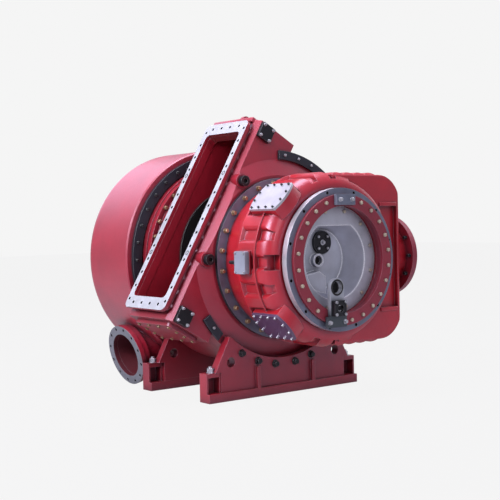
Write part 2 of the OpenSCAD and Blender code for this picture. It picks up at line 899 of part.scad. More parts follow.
module sensor_bracket() {
    color([0.52, 0.54, 0.60]) front() translate([-arm_x, 0, arm_face])
        linear_extrude(height = bracket_t) difference() {
            union() {
                translate([-arm_w / 2, -arm_low]) square([arm_w, arm_low - arm_eye]);
                translate([-bracket_w / 2, -arm_low]) square([bracket_w, bracket_h]);
                translate([0, -arm_eye]) circle(r = arm_w / 2);
            }
            translate([0, -arm_eye]) circle(r = arm_hole_r);
        }
}

module connector_block() {
    color([0.12, 0.13, 0.15]) front()
        translate([-arm_x, -plug_box_z, arm_face + bracket_t]) difference() {
            linear_extrude(height = plug_box_t) rounded(plug_box, plug_box, plug_box_corner);
            translate([0, 0, plug_box_t / 2]) cylinder(r = plug_box / 4, h = plug_box_t);
        }
}

module bearing_casing() {
    color([0.50, 0.12, 0.18]) front() translate([0, 0, -drum_front])
        cylinder(r = bearing_r, h = bearing_t);
}

module volute_clamp_ring() {
    color([0.16, 0.18, 0.21]) front() translate([0, 0, -drum_front])
        ring(clamp_out_r, clamp_in_r, clamp_t);
}

// Section of the volute drum: radius against distance behind its front.
module drum_section() {
    square([drum_r - drum_chamfer, drum_len - drum_round]);
    polygon([[0, 0], [drum_r - drum_chamfer, 0], [drum_r, drum_chamfer],
        [drum_r, drum_len - drum_round], [0, drum_len - drum_round]]);
    square([drum_r - drum_round, drum_len]);
    translate([drum_r - drum_round, drum_len - drum_round]) circle(r = drum_round);
}

module drum_solid() {
    front() translate([0, 0, -drum_front]) mirror([0, 0, 1]) rotate_extrude() drum_section();
}

module compressor_volute() {
    color([0.72, 0.11, 0.20]) difference() {
        drum_solid();
        volute_frame() translate([0, 0, -vbore_len])
            cylinder(r = vbore_r, h = vbore_len);
    }
}

module compressor_outlet_neck() {
    color([0.72, 0.11, 0.20]) difference() {
        volute_frame() {
            translate([0, 0, -vneck_len]) ring(vneck_r, vbore_r, vneck_len - vflange_t - seat_gap);
            translate([0, 0, -vflange_t - vcollar_t])
                ring(vcollar_r, vbore_r, vcollar_t - seat_gap);
        }
        drum_solid();
    }
}

module compressor_outlet_flange() {
    color([0.62, 0.12, 0.20]) volute_frame() translate([0, 0, -vflange_t]) difference() {
        ring(vflange_r, vbore_r, vflange_t);
        hole_circle(vpcd_r, vholes, 15, hole_r, vflange_t);
    }
}

module intake_cover() {
    color([0.66, 0.11, 0.18]) front() translate([0, 0, -drum_front - drum_len - intake_t]) {
        cylinder(r = intake_r, h = intake_t);
        translate([0, 0, -intake_t]) cylinder(r = intake_mid_r, h = intake_t + eps);
    }
}

// Upright plate of a foot: it stands on the sole and on the ears.
module plate_outline(arc_r) {
    inner_half = foot_half - ear_w;
    difference() {
        polygon([[-inner_half, sole_t], [inner_half, sole_t], [inner_half, ear_top_z],
            [plate_half, ear_top_z], [plate_half, axis_h - shoulder_drop],
            [tip_half, axis_h - tip_drop], [-tip_half, axis_h - tip_drop],
            [-plate_half, axis_h - shoulder_drop], [-plate_half, ear_top_z],
            [-inner_half, ear_top_z]]);
        translate([0, axis_h]) circle(r = arc_r);
        for (s = [-1, 1]) {
            translate([s * lift_half, axis_h - lift_drop]) circle(r = lift_r);
        }
    }
}

// A plate from plate_front to plate_back, with gussets where the sole reaches in front of it.
module foot_plate(y, plate_front, plate_back, arc_r) {
    translate([0, plate_back, 0]) rotate([90, 0, 0])
        linear_extrude(height = plate_back - plate_front) plate_outline(arc_r);
    if (plate_front > y) {
        for (s = [-1, 1]) {
            translate([s * gusset_half - gusset_t / 2, y, sole_t])
                cube([gusset_t, plate_front - y + eps, axis_h - gusset_drop - sole_t]);
        }
    }
}

// A sole with its front at y and a pocketed ear at each end.
module foot_sole(y) {
    translate([-foot_half, y, 0]) cube([2 * foot_half, foot_depth, sole_t]);
    for (s = [-1, 1]) {
        translate([s * (foot_half - ear_w / 2) - ear_w / 2, y + foot_depth - ear_depth, 0])
            difference() {
                cube([ear_w, ear_depth, ear_top_z]);
                translate([ear_wall, -eps, sole_t])
                    cube([ear_w - 2 * ear_wall, ear_depth - ear_wall + eps,
                        ear_top_z - ear_top - sole_t]);
            }
    }
}

module front_foot_plate() {
    color([0.50, 0.12, 0.17])
        foot_plate(front_foot_y, body_front - plate_t, body_front, hub_foot_r + fit_gap);
}

module front_foot_sole() {
    color([0.50, 0.12, 0.17]) foot_sole(front_foot_y);
}

module rear_foot_plate() {
    color([0.45, 0.10, 0.15])
        foot_plate(rear_foot_y, rear_foot_y, drum_front - clamp_t, bearing_r + fit_gap);
}

module rear_foot_sole() {
    color([0.45, 0.10, 0.15]) foot_sole(rear_foot_y);
}

gas_outlet_casing();
gas_outlet_flange();
belly_plate();
square_cover_upper();
square_cover_lower();
plug_upper();
plug_lower();
clamp_strip_upper();
clamp_strip_lower();
heat_shield();
lifting_eye();
joint_ring();
gas_inlet_casing();
gas_inlet_flange();
oval_cover_upper();
oval_cover_lower();
sensor_box();
cable_gland();
front_flange_ring();
cover_ring();
bearing_cover();
oil_plate();
top_bracket();
sensor_bracket();
connector_block();
bearing_casing();
volute_clamp_ring();
compressor_volute();
compressor_outlet_neck();
compressor_outlet_flange();
intake_cover();
front_foot_plate();
front_foot_sole();
rear_foot_plate();
rear_foot_sole();
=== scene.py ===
import math

import bmesh
import bpy
from bpy.props import (
    FloatProperty,
    FloatVectorProperty,
    IntProperty,
    PointerProperty,
)
from mathutils import Matrix, Vector


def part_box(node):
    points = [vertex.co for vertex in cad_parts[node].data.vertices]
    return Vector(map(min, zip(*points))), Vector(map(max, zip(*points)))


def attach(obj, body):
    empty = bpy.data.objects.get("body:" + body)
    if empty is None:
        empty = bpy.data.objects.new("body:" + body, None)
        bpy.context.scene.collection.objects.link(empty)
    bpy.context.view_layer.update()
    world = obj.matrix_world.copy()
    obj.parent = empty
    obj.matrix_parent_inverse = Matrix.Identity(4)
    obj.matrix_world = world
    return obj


bl_info = {
    "name": "Marine Turbocharger",
    "version": (1, 0, 0),
    "blender": (4, 5, 0),
    "location": "View3D > Sidebar > Turbocharger",
    "description": "Dresses the packed turbocharger with fasteners, finishes and a studio",
    "category": "Object",
}

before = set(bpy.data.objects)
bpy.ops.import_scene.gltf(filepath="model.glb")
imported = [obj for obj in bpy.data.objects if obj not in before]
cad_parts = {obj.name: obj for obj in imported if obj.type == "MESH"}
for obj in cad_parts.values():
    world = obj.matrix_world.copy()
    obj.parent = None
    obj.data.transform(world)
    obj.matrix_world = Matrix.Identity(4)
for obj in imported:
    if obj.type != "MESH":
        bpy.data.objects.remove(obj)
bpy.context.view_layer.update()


def front_of(name):
    """Y of a node's front face."""
    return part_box(name)[0].y


def middle_of(name):
    """Middle of a node's box."""
    low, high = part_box(name)
    return (low + high) / 2


# Frame of the machine, in metres: the rotor axis runs along Y at this height.
AXIS_H = 0.882

# Gas outlet: x along its duct, y across it and z to the front, from the rotor axis.
OUTLET_LEAN = math.radians(30.3)
OUTLET_MID_Y = middle_of("gas_outlet_flange").y
OUTLET_REACH = 0.613
DUCT_LOW = (0.05, -0.625, -0.474)
DUCT_HIGH = (0.612, 0.625, -0.118)

# Holes of the gas outlet's flange, from its middle.
FLANGE_PITCH = 0.097
FLANGE_SIDE = 0.211
FLANGE_END = 0.653
FLANGE_HOLE_R = 0.0105
SIDE_HOLES = 14
END_HOLES = 4

# Front ring: radii of its bore, of the band with its holes and of its rim.
RING_BORE = 0.345
RING_HOLES = (0.405, 0.436)
RING_RIM = 0.4365

# Compressor outlet: middle of its face, slope, bore and the band with its holes.
COMPRESSOR_FACE = Vector((-0.628, 0.95, 0.214))
COMPRESSOR_DROP = math.radians(13.6)
COMPRESSOR_BORE = 0.158
COMPRESSOR_HOLES = (0.176, 0.204)

# Heights between which the sensor bracket turns from painted shade at its foot to bare metal.
BRACKET_SHADE_FADE = (0.545, 0.600)

# Radii of the bolt circles, and the arcs that the two brackets cover.
COVER_BOLT_R = 0.374
BEARING_BOLT_R = 0.304
JOINT_NUT_R = 0.494
REAR_BOLT_R = 0.608
REAR_FLANGE_Y = 0.600
CLAMP_BOLT_R = 0.680
INLET_NUT_R = 0.236
BRACKET_ARCS = ((75, 105), (240, 270))

# Places of the covers, and of their screws from the middle of each cover.
OVAL_REACH = 0.5723
OVAL_SIDES_X = (-0.100, -0.034, 0.034, 0.100)
OVAL_SIDES_Y = (-0.092, 0.092)
OVAL_ENDS = (0.124, 0.032)
SQUARE_ALONG = 0.484
SQUARE_ACROSS = 0.668
SQUARE_SCREW = 0.039
STRIP_BOLT_R = 0.681
STRIP_ANGLES = [-36 + 10 * i for i in range(13)] + [218]
BELLY_ALONG = 0.3985
BELLY_ACROSS = 0.7543
BELLY_SIDES_X = (-0.100, 0.100)
BELLY_SIDES_Y = (-0.172, -0.057, 0.057, 0.172)
BELLY_ENDS = (0.033, 0.172)

# Bolts of the two brackets, the connector's screws and hoop, and the oil plate and port.
BRACKET_BOLTS = ((-0.048, 0.367), (0.048, 0.367), (-0.150, -0.374), (-0.026, -0.374))
CONNECTOR_SCREW = 0.037
CONNECTOR_SINK = 0.014
OIL_SCREW = 0.052 * math.sqrt(0.5)
OIL_PORT = (-0.042, -0.006)
OIL_PORT_Y = -0.4015

# Pipe socket in the bracket's eye: radii, and heights from the front ring's back.
EYE_DROP = -0.164
POLE_R = 0.0005
SOCKET_R = 0.047
SOCKET_BORE = 0.0385
SOCKET_FOOT = 0.050
SOCKET_FLOOR = 0.053
SOCKET_TOP = 0.0625
THREAD_R = 0.0384
THREAD_CREST = 0.0360
THREAD_HALF = 0.003
THREAD_TURNS = (0.064, 0.073)

# Sensor box on the left side: its screws and the gland's nut, from its middle.
SENSOR_SCREWS = (0.041, 0.057)
SENSOR_NUT = 0.0525

# Cast lips over the gas outlet and at the ends of the inlet casing's right panel: sizes and places.
OUTLET_LIP = (0.040, 0.037, 0.440)
OUTLET_LIP_AT = (0.5610, -0.7215, -OUTLET_MID_Y - 0.010)
PANEL_LIP = (0.148, 0.024, 0.012)
PANEL_LIP_Y = -0.5265
PANEL_MID_X = 0.474
PANEL_TOP = 0.338

# Feet: the front plate's bolts, and the hold-down bolts on the ears with their ends' height.
FOOT_BOLT_R = 0.690
FOOT_PAD_Y = -0.032
FOOT_ANGLES = (239, 251, 263, 277, 289, 301)
EAR_X = 0.572
EAR_Y = (0.010, 0.687)
BOLT_END = 0.028

# Steps and sides of the round shapes.
LATHE_STEPS = 28
ARC_STEPS = 18
ARC_SIDES = 8
DISC_SIDES = 24
WASHER_SIDES = 20
SCREW_SIDES = 18

# Hexagon head: its washer, the washer's rim and its crown, as shares of its own sizes.
WASHER_T = 0.22
WASHER_RIM = 0.3
CROWN_INSET = 0.14
CROWN_RISE = 0.12

# Cap screw: shares of its radius or height.
SCREW_RIM = 0.12
SCREW_DOME = 0.1
SCREW_WALL = 0.34
SCREW_HOLLOW = 0.5

# Tests of faces: angles between them, how level they lie and which way they look.
SMOOTH_UNDER = math.radians(35.0)
SHARP_OVER = 1.0
FLAT = 1e-6
FACES_OUT = 0.9
FACES_ASIDE = 0.5

# Studio: the pale backdrop, how much of it the floor and reflections show, and the lamps.
BACKDROP = (0.913, 0.913, 0.913, 1.0)
REFLECTED_BACKDROP = 0.25
FLOOR_BACKDROP = 0.97
FLOOR_HALF = 30.0
FLOOR_Z = -0.0005
SKY_LOW = (0.13, 0.12, 0.14)
SKY_HIGH = (0.66, 0.64, 0.80)
LAMPS = (
    dict(name="key_lamp", at=(-6.0, -0.4, 4.4), target=(-0.1, 0.1, 0.9), size=2.6, watts=520.0,
         colour=(0.95, 0.93, 1.0)),
    dict(name="front_lamp", at=(-1.2, -6.0, 3.4), target=(0.1, 0.0, 0.9), size=3.0, watts=60.0,
         colour=(1.0, 1.0, 1.0)),
    dict(name="side_lamp", at=(4.8, -0.5, 3.2), target=(0.1, 0.2, 0.9), size=2.6, watts=40.0,
         colour=(1.0, 1.0, 1.0)),
    dict(name="top_lamp", at=(0.0, 0.2, 5.6), target=(0.0, 0.2, 0.8), size=3.2, watts=250.0,
         colour=(0.92, 0.88, 1.0)),
    dict(name="back_lamp", at=(-0.2, 6.8, 4.8), target=(-0.5, 0.9, 1.1), size=4.6, watts=125.0,
         colour=(0.86, 0.74, 1.0)),
)

# Camera fitted to the photograph: its place, the way to its right and the way behind it.
CAMERA_AT = (-4.2410, -5.1934, 0.2495 + AXIS_H)
CAMERA_RIGHT = (0.79211, -0.61002, -0.02107)
CAMERA_BACK = (-0.60943, -0.79233, 0.02871)
CAMERA_LENS = 73.34
CAMERA_SENSOR = 36.0
CAMERA_FAR = 200.0


def srgb(r, g, b):
    """Linear colour of an sRGB triple given as 0 to 255."""
    def lin(v):
        v /= 255.0
        return v / 12.92 if v <= 0.04045 else ((v + 0.055) / 1.055) ** 2.4
    return (lin(r), lin(g), lin(b))


# Properties


class TurboSizes(bpy.types.PropertyGroup):
    """Sizes of the fasteners that dress the castings."""

    big_head: FloatProperty(
        name="Large head", description="Across flats of the large hexagon heads",
        default=0.034, min=0.02, max=0.06, unit="LENGTH")
    ring_head: FloatProperty(
        name="Ring head", description="Across flats of the cover ring's heads",
        default=0.021, min=0.015, max=0.05, unit="LENGTH")
    small_head: FloatProperty(
        name="Small head", description="Across flats of the cover plate heads",
        default=0.014, min=0.008, max=0.03, unit="LENGTH")
    cover_bolts: IntProperty(
        name="Cover ring bolts", description="Bolts round the cover ring",
        default=24, min=12, max=36)
    joint_bolts: IntProperty(
        name="Joint ring nuts", description="Nuts round the joint ring",
        default=24, min=12, max=36)


class TurboColours(bpy.types.PropertyGroup):
    """Colours of the paints and metals."""

    maroon: FloatVectorProperty(
        name="Maroon paint", description="Outlet casing and feet",
        default=srgb(146, 20, 36), subtype="COLOR", size=3, min=0, max=1)
    red: FloatVectorProperty(
        name="Red paint", description="Gas inlet casing",
        default=srgb(168, 8, 22), subtype="COLOR", size=3, min=0, max=1)
    crimson: FloatVectorProperty(
        name="Crimson paint", description="Compressor volute",
        default=srgb(150, 17, 40), subtype="COLOR", size=3, min=0, max=1)
    slate: FloatVectorProperty(
        name="Slate steel", description="Clamp ring and strips",
        default=srgb(50, 54, 64), subtype="COLOR", size=3, min=0, max=1)
    ring_grey: FloatVectorProperty(
        name="Ring grey", description="Machined front and joint rings",
        default=srgb(112, 118, 136), subtype="COLOR", size=3, min=0, max=1)
    bronze: FloatVectorProperty(
        name="Bolt gold", description="Passivated bolts of the cover ring",
        default=srgb(206, 196, 176), subtype="COLOR", size=3, min=0, max=1)


# Node groups and materials


def group_shell(name, inputs, outputs):
    """A new shader node group with its named sockets and two end nodes."""
    tree = bpy.data.node_groups.new(name, "ShaderNodeTree")
    for label, default in inputs.items():
        sock = tree.interface.new_socket(label, in_out="INPUT", socket_type="NodeSocketFloat")
        sock.default_value = default
    for label, kind in outputs.items():
        tree.interface.new_socket(label, in_out="OUTPUT", socket_type=kind)
    start = tree.nodes.new("NodeGroupInput")
    end = tree.nodes.new("NodeGroupOutput")
    return tree, start, end


def math_node(nodes, links, operation, a, b=None, clamp=False):
    """Output of a Math node whose inputs are numbers or sockets."""
    node = nodes.new("ShaderNodeMath")
    node.operation = operation
    node.use_clamp = clamp
    for i, value in enumerate((a, b)):
        if value is None:
            continue
        if isinstance(value, (int, float)):
            node.inputs[i].default_value = value
        else:
            links.new(value, node.inputs[i])
    return node.outputs[0]


def mix_colour(nodes, links, factor, a, b):
    """Colour that goes from a to b as the factor rises; each is a triple or a socket."""
    node = nodes.new("ShaderNodeMix")
    node.data_type = "RGBA"
    links.new(factor, node.inputs[0])
    for sock, value in ((node.inputs[6], a), (node.inputs[7], b)):
        if isinstance(value, tuple):
            sock.default_value = (*value, 1.0)
        else:
            links.new(value, sock)
    return node.outputs[2]


def noise(nodes, links, coord, scale, detail, rough):
    """Noise over the surface, from 0 to 1."""
    node = nodes.new("ShaderNodeTexNoise")
    node.inputs["Scale"].default_value = scale
    node.inputs["Detail"].default_value = detail
    node.inputs["Roughness"].default_value = rough
    links.new(coord, node.inputs["Vector"])
    return node.outputs["Fac"]


def ramp(nodes, links, value, low, high):
    """Maps value from the span low to high onto 0 to 1."""
    node = nodes.new("ShaderNodeMapRange")
    node.inputs["From Min"].default_value = low
    node.inputs["From Max"].default_value = high
    links.new(value, node.inputs["Value"])
    return node.outputs["Result"]


def backdrop_share(nodes, links):
    """How far a ray shows the pale backdrop: all of it to the camera, a part in reflections."""
    path = nodes.new("ShaderNodeLightPath")
    mirrored = math_node(nodes, links, "ADD", path.outputs["Is Glossy Ray"],
                         path.outputs["Is Transmission Ray"])
    part = math_node(nodes, links, "MULTIPLY", mirrored, REFLECTED_BACKDROP)
    return math_node(nodes, links, "ADD", path.outputs["Is Camera Ray"], part, clamp=True)


def edge_group():
    """Mask of the edges, and the normal with the edges rounded."""
    tree, start, end = group_shell(
        "rounded_edges", {"Radius": 0.006}, {"Edge": "NodeSocketFloat", "Normal": "NodeSocketVector"})
    nodes, links = tree.nodes, tree.links
    bevel = nodes.new("ShaderNodeBevel")
    bevel.samples = 6
    links.new(start.outputs["Radius"], bevel.inputs["Radius"])
    geo = nodes.new("ShaderNodeNewGeometry")
    dot = nodes.new("ShaderNodeVectorMath")
    dot.operation = "DOT_PRODUCT"
    links.new(bevel.outputs["Normal"], dot.inputs[0])
    links.new(geo.outputs["Normal"], dot.inputs[1])
    turned = math_node(nodes, links, "SUBTRACT", 1.0, dot.outputs["Value"], clamp=True)
    links.new(ramp(nodes, links, turned, low=0.01, high=0.12), end.inputs["Edge"])
    links.new(bevel.outputs["Normal"], end.inputs["Normal"])
    return tree


def crease_shade_group():
    """Painted shade: one in the open, falling to nought in the corners and creases."""
    tree, start, end = group_shell("painted_crease_shade", {"Reach": 0.06}, {"Open": "NodeSocketFloat"})
    nodes, links = tree.nodes, tree.links
    around = nodes.new("ShaderNodeAmbientOcclusion")
    around.samples = 8
    links.new(start.outputs["Reach"], around.inputs["Distance"])
    links.new(ramp(nodes, links, around.outputs["AO"], low=0.30, high=0.92), end.inputs["Open"])
    return tree


def cast_group():
    """Tone, roughness and height of a casting: broad clouds, dents, sand and orange peel."""
    tree, start, end = group_shell(
        "painted_casting", {"Grain": 1.0},
        {"Tone": "NodeSocketFloat", "Rough": "NodeSocketFloat", "Height": "NodeSocketFloat"})
    nodes, links = tree.nodes, tree.links
    coord = nodes.new("ShaderNodeTexCoord").outputs["Object"]
    broad = noise(nodes, links, coord, scale=3.2, detail=4.0, rough=0.6)
    sand = noise(nodes, links, coord, scale=120.0, detail=3.0, rough=0.6)
    peel = noise(nodes, links, coord, scale=420.0, detail=1.0, rough=0.5)
    dents = noise(nodes, links, coord, scale=22.0, detail=2.0, rough=0.5)
    links.new(ramp(nodes, links, broad, low=0.3, high=0.7), end.inputs["Tone"])
    links.new(ramp(nodes, links, sand, low=0.2, high=0.8), end.inputs["Rough"])
    height = 0.0
    for layer, share in ((sand, 0.5), (peel, 0.3), (dents, 1.1)):
        part = math_node(nodes, links, "MULTIPLY", layer, share)
        height = math_node(nodes, links, "ADD", height, part)
    links.new(math_node(nodes, links, "MULTIPLY", height, start.outputs["Grain"]), end.inputs["Height"])
    return tree


def turned_group():
    """Rings left by a lathe round the rotor axis, which wander a little, and broad clouds."""
    tree, start, end = group_shell(
        "turned_marks", {"Pitch": 900.0}, {"Marks": "NodeSocketFloat", "Cloud": "NodeSocketFloat"})
    nodes, links = tree.nodes, tree.links
    coord = nodes.new("ShaderNodeTexCoord").outputs["Object"]
    move = nodes.new("ShaderNodeMapping")
    move.inputs["Location"].default_value = (0.0, 0.0, -AXIS_H)
    links.new(coord, move.inputs["Vector"])
    split = nodes.new("ShaderNodeSeparateXYZ")
    links.new(move.outputs["Vector"], split.inputs["Vector"])
    x2 = math_node(nodes, links, "POWER", split.outputs["X"], 2.0)
    z2 = math_node(nodes, links, "POWER", split.outputs["Z"], 2.0)
    radius = math_node(nodes, links, "SQRT", math_node(nodes, links, "ADD", x2, z2))
    cloud = noise(nodes, links, coord, scale=9.0, detail=4.0, rough=0.6)
    even = math_node(nodes, links, "MULTIPLY", radius, start.outputs["Pitch"])
    wander = math_node(nodes, links, "MULTIPLY", cloud, 3.0)
    wave = math_node(nodes, links, "SINE", math_node(nodes, links, "ADD", even, wander))
    links.new(ramp(nodes, links, wave, low=-1.0, high=1.0), end.inputs["Marks"])
    links.new(ramp(nodes, links, cloud, low=0.3, high=0.7), end.inputs["Cloud"])
    return tree


GROUPS = {}
MATERIALS = {}


def place_group(nodes, maker, **values):
    """Puts a shared group in a material, making the group at its first use."""
    if maker not in GROUPS:
        GROUPS[maker] = maker()
    node = nodes.new("ShaderNodeGroup")
    node.node_tree = GROUPS[maker]
    for label, value in values.items():
        node.inputs[label].default_value = value
    return node


def blank_material(name):
    """A new material with only its shader and output."""
    mat = bpy.data.materials.new(name)
    mat.use_nodes = True
    mat.node_tree.nodes.clear()
    nodes, links = mat.node_tree.nodes, mat.node_tree.links
    out = nodes.new("ShaderNodeOutputMaterial")
    shader = nodes.new("ShaderNodeBsdfPrincipled")
    links.new(shader.outputs["BSDF"], out.inputs["Surface"])
    return mat, nodes, links, shader


def scaled(colour, k):
    """A darker or lighter colour."""
    return tuple(min(1.0, c * k) for c in colour)


def bleached(colour, keep, lift):
    """A paler colour, for worn edges and painted edge highlights."""
    return tuple(c * keep + lift for c in colour)


def uneven_gloss(nodes, links, shader, mask, rough, spread):
    """Roughness that wanders by a spread round its mean."""
    part = math_node(nodes, links, "MULTIPLY", mask, spread)
    links.new(math_node(nodes, links, "ADD", part, rough - spread / 2), shader.inputs["Roughness"])


def raise_skin(nodes, links, shader, height, normal, strength, distance):
    """Bump of the surface, laid over the rounded edges."""
    bumped = nodes.new("ShaderNodeBump")
    bumped.inputs["Strength"].default_value = strength
    bumped.inputs["Distance"].default_value = distance
    links.new(height, bumped.inputs["Height"])
    links.new(normal, bumped.inputs["Normal"])
    links.new(bumped.outputs["Normal"], shader.inputs["Normal"])


def cast_skin(name, colour, wear_and_highlight_colour, rough, spread, tones, shade_in_creases, edge_wear_and_highlight, grain, bump, edge, reach):
    """A casting's surface: clouded tone, painted shade in the creases, worn edges that on aluminium are
    painted highlights, and a cast grain.
    """
    mat, nodes, links, shader = blank_material(name)
    cast = place_group(nodes, cast_group, Grain=grain)
    edges = place_group(nodes, edge_group, Radius=edge)
    crease_shade = place_group(nodes, crease_shade_group, Reach=reach)
    dark, light = (scaled(colour, k) for k in tones)
    fresh = mix_colour(nodes, links, cast.outputs["Tone"], dark, light)
    # Painted shade: the colour darkens to a share of itself where the creases close in.
    tone = mix_colour(nodes, links, crease_shade.outputs["Open"], scaled(colour, shade_in_creases), fresh)
    # Paler edges: wear on the paints and most metals, and a painted highlight along the aluminium's
    # fillets.
    wear_and_highlight = math_node(nodes, links, "MULTIPLY", edges.outputs["Edge"], edge_wear_and_highlight)
    links.new(mix_colour(nodes, links, wear_and_highlight, tone, wear_and_highlight_colour), shader.inputs["Base Color"])
    uneven_gloss(nodes, links, shader, cast.outputs["Rough"], rough, spread)
    raise_skin(nodes, links, shader, cast.outputs["Height"], edges.outputs["Normal"],
               strength=0.5, distance=bump)
    return mat, shader


def paint(name, colour, rough, grain=1.0, coat=0.25, coat_rough=0.3):
    """Semi-gloss paint over a casting, worn a little along its edges."""
    mat, shader = cast_skin(
        name, colour, bleached(colour, keep=0.5, lift=0.34), rough, spread=0.14, tones=(0.80, 1.12),
        shade_in_creases=0.26, edge_wear_and_highlight=0.22, grain=grain, bump=0.0016, edge=0.005, reach=0.07)
    shader.inputs["Coat Weight"].default_value = coat
    shader.inputs["Coat Roughness"].default_value = coat_rough
    shader.inputs["Specular IOR Level"].default_value = 0.9
    shader.inputs["Specular Tint"].default_value = (0.92, 0.76, 1.0, 1.0)
    return mat


def cast_metal(name, colour, rough, metallic, grain, edge=0.004, edge_wear_and_highlight=0.35, wear_and_highlight_lift=0.30):
    """Bare or blackened cast metal."""
    mat, shader = cast_skin(
        name, colour, bleached(colour, keep=0.6, lift=wear_and_highlight_lift), rough, spread=0.2, tones=(0.78, 1.2),
        shade_in_creases=0.35, edge_wear_and_highlight=edge_wear_and_highlight, grain=grain, bump=0.0012, edge=edge, reach=0.05)
    shader.inputs["Metallic"].default_value = metallic
    return mat


def metal(name, colour, rough, metallic, pitch=900.0, bump=0.00035, edge=0.003):
    """Machined metal with turned marks, brighter along its edges."""
    mat, nodes, links, shader = blank_material(name)
    marks = place_group(nodes, turned_group, Pitch=pitch)
    edges = place_group(nodes, edge_group, Radius=edge)
    tone = mix_colour(nodes, links, marks.outputs["Cloud"], scaled(colour, 0.82), scaled(colour, 1.12))
    bright = math_node(nodes, links, "MULTIPLY", edges.outputs["Edge"], 0.45)
    lift = mix_colour(nodes, links, bright, tone, bleached(colour, keep=0.6, lift=0.34))
    links.new(lift, shader.inputs["Base Color"])
    shader.inputs["Metallic"].default_value = metallic
    uneven_gloss(nodes, links, shader, marks.outputs["Cloud"], rough, spread=0.16)
    raise_skin(nodes, links, shader, marks.outputs["Marks"], edges.outputs["Normal"],
               strength=0.35, distance=bump)
    return mat


def bolt_metal(name, colour, rough, metallic):
    """Machined metal at the scale of a bolt head."""
    return metal(name, colour, rough, metallic, pitch=2400.0, edge=0.0015)


# Places


def front_place(y):
    """Matrix whose local z points to the front, with its origin on the rotor axis."""
    return Matrix.Translation((0.0, y, AXIS_H)) @ Matrix.Rotation(math.radians(90.0), 4, "X")


def duct_place():
    """Matrix with local x along the gas outlet, y across it and z to the front."""
    return front_place(0.0) @ Matrix.Rotation(math.pi - OUTLET_LEAN, 4, "Z")


def side_place(angle, y, reach):
    """Matrix whose local z leaves the rotor axis at an angle, at a reach from it."""
    return (front_place(y) @ Matrix.Rotation(math.radians(angle), 4, "Z")
            @ Matrix.Rotation(math.radians(90.0), 4, "Y") @ Matrix.Translation((0, 0, reach)))


def outlet_place(across, depth):
    """Matrix on the gas outlet's face, with local z out of the outlet."""
    return (duct_place() @ Matrix.Translation((OUTLET_REACH, across, depth))
            @ Matrix.Rotation(math.radians(90.0), 4, "Y"))


def node_place(name):
    """Matrix on the middle of a node's front face, with local z to the front."""
    middle = middle_of(name)
    return shifted(front_place(front_of(name)), middle.x, middle.z - AXIS_H)


def shifted(place, x, y, z=0.0):
    """The place, moved along its own axes."""
    return place @ Matrix.Translation((x, y, z))


def ring_places(hub, radius, angles):
    """Places on a circle round the hub's local z."""
    return [hub @ Matrix.Rotation(math.radians(a), 4, "Z") @ Matrix.Translation((radius, 0, 0))
            for a in angles]


def ring_on(name, radius, angles):
    """Places on a circle round the rotor axis, on a node's front face."""
    return ring_places(front_place(front_of(name)), radius, angles)


def count_angles(count, start):
    """Even angles round a circle, in degrees."""
    return [start + 360.0 * i / count for i in range(count)]


def centred(count, pitch):
    """Even steps round nought."""
    return [(i - (count - 1) / 2) * pitch for i in range(count)]


def grid(xs, ys):
    """Each x with each y."""
    return [(x, y) for x in xs for y in ys]


def corners(x, y):
    """The four corners of a rectangle, from its middle."""
    return grid((-x, x), (-y, y))


def local_z(place):
    """The direction of a place's own z."""
    return (place.to_3x3() @ Vector((0, 0, 1))).normalized()


# Building blocks for the new pieces


def new_piece(name, bm, key):
    """Turns a bmesh into a piece of the scene that rides on the machine."""
    bmesh.ops.recalc_face_normals(bm, faces=bm.faces)
    mesh = bpy.data.meshes.new(name)
    bm.to_mesh(mesh)
    bm.free()
    obj = bpy.data.objects.new(name, mesh)
    bpy.context.scene.collection.objects.link(obj)
    mesh.materials.append(MATERIALS[key])
    for poly in mesh.polygons:
        poly.use_smooth = True
    mesh.set_sharp_from_angle(angle=SMOOTH_UNDER)
    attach(obj, "root")


def edges_of(bm, verts):
    """Edges between the given vertices."""
    return [e for e in bm.edges if all(v in verts for v in e.verts)]


def faces_at(bm, verts, place, height):
    """Faces between the given vertices that lie at a height over a place."""
    inverse = place.inverted()
    return [f for f in bm.faces if all(v in verts for v in f.verts)
            and all(abs((inverse @ v.co).z - height) < FLAT for v in f.verts)]


def lift_faces(bm, faces, vec):
    """Moves each face."""
    for face in faces:
        bmesh.ops.translate(bm, verts=list(face.verts), vec=vec)


def add_disc(bm, place, radius, height, sides=DISC_SIDES):
    """A cylinder that stands on a place; returns its vertices."""
    disc = bmesh.ops.create_cone(
        bm, cap_ends=True, segments=sides, radius1=radius, radius2=radius, depth=height,
        matrix=shifted(place, 0, 0, height / 2))
    return set(disc["verts"])


def add_hex_head(bm, place, flats, height, washer=0.0):
    """A hexagon head with a crowned top, on a washer where one is given."""
    base = 0.0
    if washer:
        base = height * WASHER_T
        verts = add_disc(bm, place, washer, base, WASHER_SIDES)
        rim = [e for e in edges_of(bm, verts) if e.calc_face_angle(0.0) > SHARP_OVER]
        bmesh.ops.bevel(bm, geom=rim, offset=base * WASHER_RIM, affect="EDGES", segments=1, profile=0.5,
                        material=-1)
    corner = flats / math.sqrt(3.0)
    verts = add_disc(bm, shifted(place, 0, 0, base), corner, height, sides=6)
    caps = faces_at(bm, verts, place, base + height)
    bmesh.ops.inset_region(bm, faces=caps, thickness=corner * CROWN_INSET, depth=0.0)
    lift_faces(bm, caps, local_z(place) * height * CROWN_RISE)


def add_socket_head(bm, place, radius, height):
    """A cap screw: a rounded cylinder with a hollow in its top."""
    verts = add_disc(bm, place, radius, height, SCREW_SIDES)
    caps = faces_at(bm, verts, place, height)
    axis = local_z(place)
    bmesh.ops.inset_region(bm, faces=caps, thickness=radius * SCREW_RIM, depth=0.0)
    lift_faces(bm, caps, axis * height * SCREW_DOME)
    bmesh.ops.inset_region(bm, faces=caps, thickness=radius * SCREW_WALL, depth=0.0)
    hollow = bmesh.ops.extrude_discrete_faces(bm, faces=caps)
    lift_faces(bm, hollow["faces"], -axis * height * SCREW_HOLLOW)


